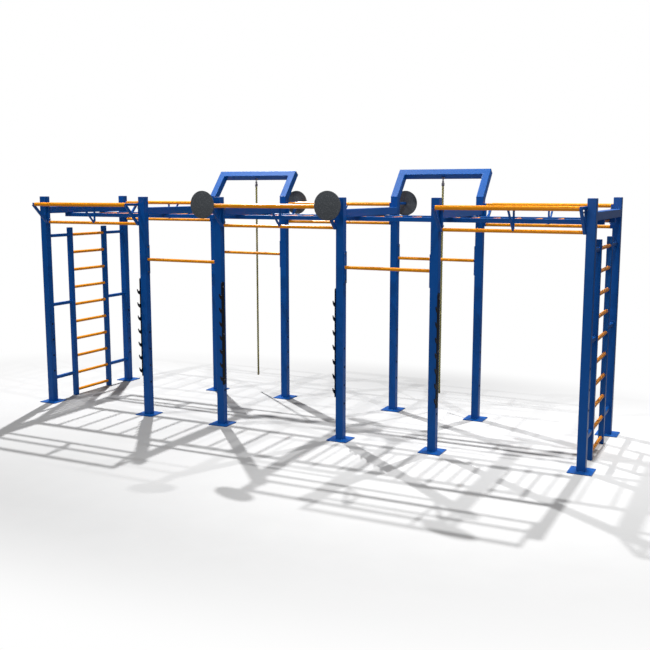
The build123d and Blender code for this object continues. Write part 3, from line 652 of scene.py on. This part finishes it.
# Each kind: tube width, then where its arm ends along Y, its top, its foot and the depth at its tip
end_bracket = (bracket_tube, 1.069, 2.672, 2.397, 0.047)
mid_bracket = (0.020, 1.050, 2.665, 2.417, 0.020)
mid_offset = 0.025
wide_bays = ((0, 1), (2, 3), (4, 5))
bracket_x = [x + wide_side[i] * (half_post + bracket_tube / 2) for i, x in enumerate(stations)]
middle_x = [(stations[a] + stations[b]) / 2 + mid_offset for a, b in wide_bays]
for row, s in rows.items():
    bracket_mesh = bmesh.new()
    out = north * s
    for places, (tube, tip, top, foot, tip_depth) in ((bracket_x, end_bracket), (middle_x, mid_bracket)):
        under = top - tube
        line = top - tip_depth - tip
        drop = tube / cos(radians(45))
        for x in places:
            low = Vector((x, s * row_y, foot))
            high = Vector((x, s * row_y, under - weld_gap))
            straight_tube(bracket_mesh, low, high, z_axis, tube)
            start = Vector((x, s * (row_y - tube / 2), top - tube / 2))
            end = Vector((x, s * tip, top - tube / 2))
            straight_tube(bracket_mesh, start, end, out, tube)
            middle = Vector((x, s * row_y, row_y + line + drop / 2))
            wall = Vector((x, s * (row_y + tube / 2 + weld_gap), 0))
            roof = Vector((x, 0, under - weld_gap))
            # The brace is cut off level at the bracket's foot as well
            brace = bmesh.new()
            cut_tube(brace, middle, Vector((0, s, 1)), tube, ((wall, out), (roof, z_axis)))
            bmesh.ops.bisect_plane(brace, geom=[*brace.verts, *brace.edges, *brace.faces],
                                   plane_co=low, plane_no=z_axis, clear_inner=True)
            bmesh.ops.holes_fill(brace, edges=[e for e in brace.edges if e.is_boundary])
            brace_data = bpy.data.meshes.new("brace")
            brace.to_mesh(brace_data)
            brace.free()
            bracket_mesh.from_mesh(brace_data)
            bpy.data.meshes.remove(brace_data)
    settle(f"bracket_frames_{row}", bracket_mesh, blue_coat, "root", "blue_paint", f"bar_brackets_{row}")

# End plates: short steel flats, 10 mm thick, welded on the bars of the narrow bays and bolted to
# the posts above and below the bar.
soften_plates("bar_end_plate_set", "bar_end_plates", sheared_edge, blue_coat, "blue_paint")

# Target discs: round plates of bonded rubber granulate on a steel sheet, each glued and screwed
# from behind to a short square arm, so the front shows no fixings.

# Rubber granulate bonded with polyurethane: dark grey grains of about 5 mm, a few of them paler
granulate, tree, shader = start_material("bonded_rubber_granulate", {
    "Roughness": 0.7, "Specular IOR Level": 0.3})
grains = add_node(tree, "ShaderNodeTexVoronoi", {}, {"Scale": 1 / 0.005}, {"Vector": object_place(tree)})
shade = add_node(tree, "ShaderNodeSeparateColor", {}, {}, {0: grains.outputs["Color"]})
speckle = add_node(tree, "ShaderNodeValToRGB", {}, {}, {0: shade.outputs[0]})
speckle.color_ramp.elements[0].color = linear("#43474B")
speckle.color_ramp.elements[1].color = linear("#676C71")
middle_stop = speckle.color_ramp.elements.new(0.72)
middle_stop.color = linear("#4D5155")
tree.links.new(speckle.outputs[0], shader.inputs["Base Color"])
set_relief(tree, shader, grains.outputs["Distance"], 0.3, 0.0008, invert=True)

disc_y = 1.150
disc_z = 2.664
disc_radius = 0.160
disc_thickness = 0.010
disc_rim = 0.003
disc_stations = {"left": stations[2], "right": stations[3]}
rim_turns = [radians(a) for a in (0, 22.5, 45, 67.5, 90)]
rim_profile = [(disc_thickness / 2 - disc_rim * (1 - cos(t)), disc_radius - disc_rim * (1 - sin(t)))
               for t in rim_turns]
disc_profile = [(disc_thickness / 2, 0.0), *rim_profile]
disc_profile = [*disc_profile, *[(-reach, radius) for reach, radius in reversed(disc_profile)]]
for row, s in rows.items():
    for side, x in disc_stations.items():
        disc = bmesh.new()
        lathe(disc, disc_profile, Vector((x, s * disc_y, disc_z)), north * s, east, 96)
        settle(f"disc_{row}_{side}", disc, granulate, "root", "target_rubber", f"target_disc_{row}_{side}")

# Disc arms: short 30 mm square tubes from the outer face of the posts to the back of the discs,
# square to both and painted with the posts.
arm_mesh = bmesh.new()
for s in rows.values():
    for x in disc_stations.values():
        start = Vector((x, s * (row_y + half_post), disc_z))
        end = Vector((x, s * (disc_y - disc_thickness / 2), disc_z))
        straight_tube(arm_mesh, start, end, north * s, bracket_tube)
settle("disc_arm_set", arm_mesh, blue_coat, "root", "blue_paint", "disc_arms")

# Leaning arches: on the back posts of each narrow bay, two legs and a beam of the posts' own
# 90 mm tube, mitred and welded at the corners, lean back by 41 degrees and carry the ropes.
arch_lean = radians(41)
refinish(blue_coat, "rope_arch_left", "rope_arch_right")

# Rope hangers: a U-bolt with washers and nuts through each beam, a bow shackle on it with its
# cross pin, and a ferrule pressed round the top of the rope, all in dark zinc-plated steel.

# Zinc plating, passivated dark: a low sheen that varies in clouds of 10 mm, with pits of 2 mm
dark_zinc, tree, shader = start_material("dark_passivated_zinc", {"Metallic": 0.85})
place = object_place(tree)
cloud = noise(tree, place, 0.01, 4.0)
tree.links.new(mixed(tree, cloud, "#55525A", "#8B8890"), shader.inputs["Base Color"])
shine = add_node(tree, "ShaderNodeMapRange", {}, {"To Min": 0.32, "To Max": 0.55}, {"Value": cloud})
tree.links.new(shine.outputs["Result"], shader.inputs["Roughness"])
set_relief(tree, shader, noise(tree, place, 0.002, 2.0), 0.25, 0.0002)
refinish(dark_zinc, "hanger_u_bolts", "shackle_left", "shackle_right")

# Each ferrule is a sleeve crimped in three places, and a lug for the pin with a round head
pin_z = 2.939056
crimp_feet = (0.007, 0.017, 0.027)
lug_radius = 0.010
lug_foot = -0.0155
lug_half = 0.005
lug_edge = 0.0007
pin_hole = 0.00405


def arc(radius, degrees):
    """Points on a circle at the given degrees, as (across, up) pairs."""
    return [(radius * cos(radians(a)), radius * sin(radians(a))) for a in degrees]


for side, x in narrow_bays.items():
    ferrule = bmesh.new()
    sleeve = [(0.0, 0.0), (0.0, 0.0150), (0.0010, 0.0172), (0.0040, 0.0188)]
    for low in crimp_feet:
        sleeve += [(low, 0.0190), (low + 0.0015, 0.0176), (low + 0.0045, 0.0176), (low + 0.0060, 0.0190)]
    sleeve += [(0.0370, 0.0190), (0.0388, 0.0178), (0.0398, 0.0150), (0.0400, 0.0120), (0.0400, 0.0)]
    lathe(ferrule, sleeve, Vector((x, hanger_y, rope_top)), z_axis, east, 32)
    lug = bpy.data.curves.new("lug", "CURVE")
    lug.dimensions = "2D"
    lug.fill_mode = "BOTH"
    lug.extrude = lug_half - lug_edge
    lug.bevel_depth = lug_edge
    lug.offset = -lug_edge
    lug_outline = [*arc(lug_radius, range(0, 181, 15)), (-lug_radius, lug_foot), (lug_radius, lug_foot)]
    for outline in (lug_outline, arc(pin_hole, range(0, 360, 15))[::-1]):
        edge_line = lug.splines.new("POLY")
        edge_line.points.add(len(outline) - 1)
        for point, (a, b) in zip(edge_line.points, outline):
            point.co = (a, b, 0.0, 1.0)
        edge_line.use_cyclic_u = True
    lug_mesh = plain_mesh(add_object("lug", lug))
    lug_mesh.transform(Matrix.Translation((x, hanger_y, pin_z)) @ Matrix.Rotation(radians(90), 4, "X"))
    lug_part = bmesh.new()
    lug_part.from_mesh(lug_mesh)
    bmesh.ops.remove_doubles(lug_part, verts=lug_part.verts, dist=0.00001)
    lug_part.to_mesh(lug_mesh)
    lug_part.free()
    ferrule.from_mesh(lug_mesh)
    settle(f"ferrule_{side}", ferrule, dark_zinc, f"rope_{side}", "dark_steel", f"rope_ferrule_{side}")

# Barbell racks: combs with seven hooks each, cut from 10 mm steel sheet by laser, bolted to the
# wide-bay sides of the four inner front posts and coated in satin black powder.
black_coat = powder_coat(
    "black_satin_powder_coat", "#0C0D10", "#17181C", "#3A3C40", "#FFFFFF", 0.45, 0.2, 0.12)
for i in inner_posts:
    soften_plates(f"rack_comb_{i}", f"barbell_rack_{i}", laser_edge, black_coat, "black_paint")

# Climbing ladders: at both ends, two 60 mm square stringers with ten round 40 mm rungs, held to
# the end posts by three pairs of short 40 mm square tubes.
refinish(blue_coat, "ladder_stringers_left", "ladder_stringers_right")
refinish(orange_coat, "ladder_rungs_left", "ladder_rungs_right")
half_stringer = 0.030
connector_width = 0.040
connector_heights = (0.317, 1.311, 2.232)
connectors = bmesh.new()
for e in (-1, 1):
    for z in connector_heights:
        for s in (-1, 1):
            start = Vector((e * stations[5], s * (rail_y + half_stringer), z))
            end = Vector((e * stations[5], s * (row_y - half_post), z))
            straight_tube(connectors, start, end, north * s, connector_width)
settle("ladder_connector_set", connectors, blue_coat, "root", "blue_paint", "ladder_connectors")

# Hole grommets: black rubber rings, 26 mm across, pressed into both ends of every adjustment hole
# that no comb covers. One tree sets them all; their bores stay open, and their black is partly painted shade
# that widens the dark spot of each hole.

# Moulded rubber, filled with carbon black: dull, bloomed in clouds of 8 mm, with a 1 mm grain
black_rubber, tree, shader = start_material("moulded_black_rubber", {
    "Roughness": 0.62, "Specular IOR Level": 0.2})
place = object_place(tree)
clouds = noise(tree, place, 0.008, 3.0)
tree.links.new(mixed(tree, clouds, "#0A0B0D", "#17181B"), shader.inputs["Base Color"])
set_relief(tree, shader, noise(tree, place, 0.001, 2.0), 0.3, 0.0002)

grommet_tree, given, result = start_tree("hole_grommet_set", {
    "Flange Radius": ("Float", 0.0100), "Flange Width": ("Float", 0.0060),
    "Flange Height": ("Float", 0.0016), "Sleeve Radius": ("Float", 0.0077),
    "Sleeve Width": ("Float", 0.0014), "Sleeve Height": ("Float", 0.0050), "Rubber": ("Material", None)})
grommet = add_node(grommet_tree, "GeometryNodeJoinGeometry")
for part, share in (("Flange", 0.5), ("Sleeve", -0.5)):
    path = add_node(grommet_tree, "GeometryNodeCurvePrimitiveCircle", {}, {"Resolution": 32}, {
        "Radius": given[f"{part} Radius"]})
    upright = add_node(grommet_tree, "GeometryNodeSetCurveNormal", {"mode": "Z_UP"}, {}, {
        0: path.outputs["Curve"]})
    section = add_node(grommet_tree, "GeometryNodeCurvePrimitiveQuadrilateral", {}, {}, {
        "Width": given[f"{part} Width"], "Height": given[f"{part} Height"]})
    rounded = add_node(grommet_tree, "GeometryNodeFilletCurve", {"mode": "POLY"}, {
        "Count": 2, "Radius": 0.0004}, {"Curve": section.outputs[0]})
    ring = add_node(grommet_tree, "GeometryNodeCurveToMesh", {}, {}, {
        "Curve": upright.outputs[0], "Profile Curve": rounded.outputs[0]})
    ring_on = lifted(grommet_tree, ring.outputs[0], given[f"{part} Height"], share)
    grommet_tree.links.new(ring_on, grommet.inputs[0])
set_out(grommet_tree, given["Geometry"], grommet.outputs[0], facing_turn(grommet_tree), given["Rubber"],
        result)

lowest_hole = 0.425
hole_spacing = 0.212
holes_per_post = 4
hole_faces = {(x + face * half_post, s * row_y, lowest_hole + hole_spacing * k): (face, 0, 0)
              for s in (-1, 1) for i, x in enumerate(stations) for face in (-1, 1)
              for k in range(holes_per_post)
              if k == 0 or s > 0 or i not in inner_posts or face != wide_side[i]}
grow("hole_grommets", grommet_tree, source_mesh("hole_faces", list(hole_faces), ways=hole_faces.values()),
     {"Rubber": black_rubber}, "target_rubber")

# Weld seams: beads of 5 mm with the slight unevenness of handwork, under the paint, round the feet
# of the posts, over and under the crossbeams' ends, at the arches' feet and the connectors' ends.
seam_tree, given, result = start_tree("weld_seam_set", {
    "Bead Radius": ("Float", 0.0026), "Step": ("Float", 0.004), "Corner": ("Float", 0.004),
    "Thinnest": ("Float", 0.82), "Thickest": ("Float", 1.15), "Seed": ("Int", 11),
    "Paint": ("Material", None)})
seam = add_node(seam_tree, "GeometryNodeMeshToCurve", {}, {}, {0: given["Geometry"]})
eased = add_node(seam_tree, "GeometryNodeFilletCurve", {"mode": "POLY"}, {"Count": 3}, {
    "Curve": seam.outputs[0], "Radius": given["Corner"]})
stepped = add_node(seam_tree, "GeometryNodeResampleCurve", {"mode": "LENGTH"}, {}, {
    "Curve": eased.outputs[0], "Length": given["Step"]})
swell = add_node(seam_tree, "FunctionNodeRandomValue", {"data_type": "FLOAT"}, {}, {
    2: given["Thinnest"], 3: given["Thickest"], "Seed": given["Seed"]})
section = add_node(seam_tree, "GeometryNodeCurvePrimitiveCircle", {}, {"Resolution": 8}, {
    "Radius": given["Bead Radius"]})
bead = add_node(seam_tree, "GeometryNodeCurveToMesh", {}, {"Fill Caps": True}, {
    "Curve": stepped.outputs[0], "Profile Curve": section.outputs["Curve"], "Scale": swell.outputs[1]})
smooth = add_node(seam_tree, "GeometryNodeSetShadeSmooth", {}, {}, {"Geometry": bead.outputs[0]})
end_tree(seam_tree, smooth.outputs[0], given["Paint"], result)

plate_top = 0.008
crossbeam_faces = (2.53, 2.62)
crossbeam_seam = 0.040
half_connector = connector_width / 2
# Each seam is its points and whether it comes back to the first of them
seams = []
for x in stations:
    for s in (-1, 1):
        foot = [(x + a * half_post, s * row_y + b * half_post, plate_top) for a, b in corners]
        seams.append((foot, True))
        for z in crossbeam_faces:
            seams.append(([(x + a * crossbeam_seam, s * (row_y - half_post), z) for a in (-1, 1)], False))
for e in (-1, 1):
    for z in connector_heights:
        for s in (-1, 1):
            for y in (rail_y + half_stringer, row_y - half_post):
                ring = [(e * stations[5] + a * half_connector, s * y, z + b * half_connector)
                        for a, b in corners]
                seams.append((ring, True))
# The arches: one seam where each leg leaves its post; those at the beams' corners are ground flush
slope = tan(arch_lean / 2)
for i in inner_posts:
    bend = Vector((stations[i], row_y, post_height - half_post * slope))
    mitre = [bend + Vector((a * half_post, b * half_post, -b * half_post * slope)) for a, b in corners]
    seams.append((mitre, True))
seam_points = []
seam_lines = []
for run, closed in seams:
    first = len(seam_points)
    count = len(run)
    seam_points += run
    seam_lines += [(first + k, first + (k + 1) % count) for k in range(count if closed else count - 1)]
grow("weld_seams", seam_tree, source_mesh("seam_lines", seam_points, seam_lines), {"Paint": blue_coat},
     "blue_paint")

# Hexagon bolts: M12 heads on flat washers, zinc-plated, on every bracket, end plate and comb.
# One tree sets them all, each turned to the angle where its spanner happened to stop.
bolt_tree, given, result = start_tree("hexagon_bolt_set", {
    "Head Radius": ("Float", 0.01097), "Head Height": ("Float", 0.0075), "Washer Radius": ("Float", 0.012),
    "Washer Height": ("Float", 0.002), "Seed": ("Int", 7), "Steel": ("Material", None)})
washer = add_node(bolt_tree, "GeometryNodeMeshCylinder", {}, {"Vertices": 32}, {
    "Radius": given["Washer Radius"], "Depth": given["Washer Height"]})
washer_on = lifted(bolt_tree, washer.outputs["Mesh"], given["Washer Height"], 0.5)
head = add_node(bolt_tree, "GeometryNodeMeshCylinder", {}, {"Vertices": 6, "Side Segments": 4}, {
    "Radius": given["Head Radius"], "Depth": given["Head Height"]})
spot = add_node(bolt_tree, "GeometryNodeInputPosition").outputs[0]
level = add_node(bolt_tree, "ShaderNodeSeparateXYZ", {}, {}, {0: spot})
crown_z = add_node(bolt_tree, "ShaderNodeMath", {"operation": "MULTIPLY"}, {1: 0.4}, {
    0: given["Head Height"]})
crown = add_node(bolt_tree, "FunctionNodeCompare", {"operation": "GREATER_THAN"}, {}, {
    0: level.outputs["Z"], 1: crown_z.outputs[0]})
drawn_in = add_node(bolt_tree, "ShaderNodeVectorMath", {"operation": "MULTIPLY"}, {
    1: (0.86, 0.86, 1.0)}, {0: spot})
chamfered = add_node(bolt_tree, "GeometryNodeSetPosition", {}, {}, {
    "Geometry": head.outputs["Mesh"], "Selection": crown.outputs[0], "Position": drawn_in.outputs[0]})
head_on = lifted(bolt_tree, chamfered.outputs[0], given["Head Height"], 0.5, given["Washer Height"])
bolt = add_node(bolt_tree, "GeometryNodeJoinGeometry", {}, {}, {0: washer_on})
bolt_tree.links.new(head_on, bolt.inputs[0])
angle = add_node(bolt_tree, "FunctionNodeRandomValue", {"data_type": "FLOAT"}, {2: 0.0, 3: pi / 3}, {
    "Seed": given["Seed"]})
spin = add_node(bolt_tree, "FunctionNodeAxisAngleToRotation", {}, {"Axis": (0.0, 0.0, 1.0)}, {
    "Angle": angle.outputs[1]})
spun = add_node(bolt_tree, "FunctionNodeRotateRotation", {"rotation_space": "LOCAL"}, {}, {
    0: facing_turn(bolt_tree), 1: spin.outputs[0]})
set_out(bolt_tree, given["Geometry"], bolt.outputs[0], spun.outputs[0], given["Steel"], result)

bracket_bolts = (2.457, 2.612)
narrow_bar_z = 1.978
plate_bolts = 0.1555
plate_thickness = 0.010
comb_y = -0.8245
comb_bolts = (0.560, 1.117, 1.690)
bolt_places = {}
for s in rows.values():
    for i, x in enumerate(stations):
        for z in bracket_bolts:
            bolt_places[(x + wide_side[i] * (half_post + bracket_tube), s * row_y, z)] = (wide_side[i], 0, 0)
    for i in inner_posts:
        x = stations[i] - wide_side[i] * (half_post + plate_thickness)
        for z in (narrow_bar_z - plate_bolts, narrow_bar_z + plate_bolts):
            bolt_places[(x, s * row_y, z)] = (-wide_side[i], 0, 0)
for i in inner_posts:
    x = stations[i] + wide_side[i] * (half_post + plate_thickness)
    for z in comb_bolts:
        bolt_places[(x, comb_y, z)] = (wide_side[i], 0, 0)
grow("hexagon_bolts", bolt_tree, source_mesh("bolt_places", list(bolt_places), ways=bolt_places.values()),
     {"Steel": dark_zinc}, "dark_steel", "hex_bolts")
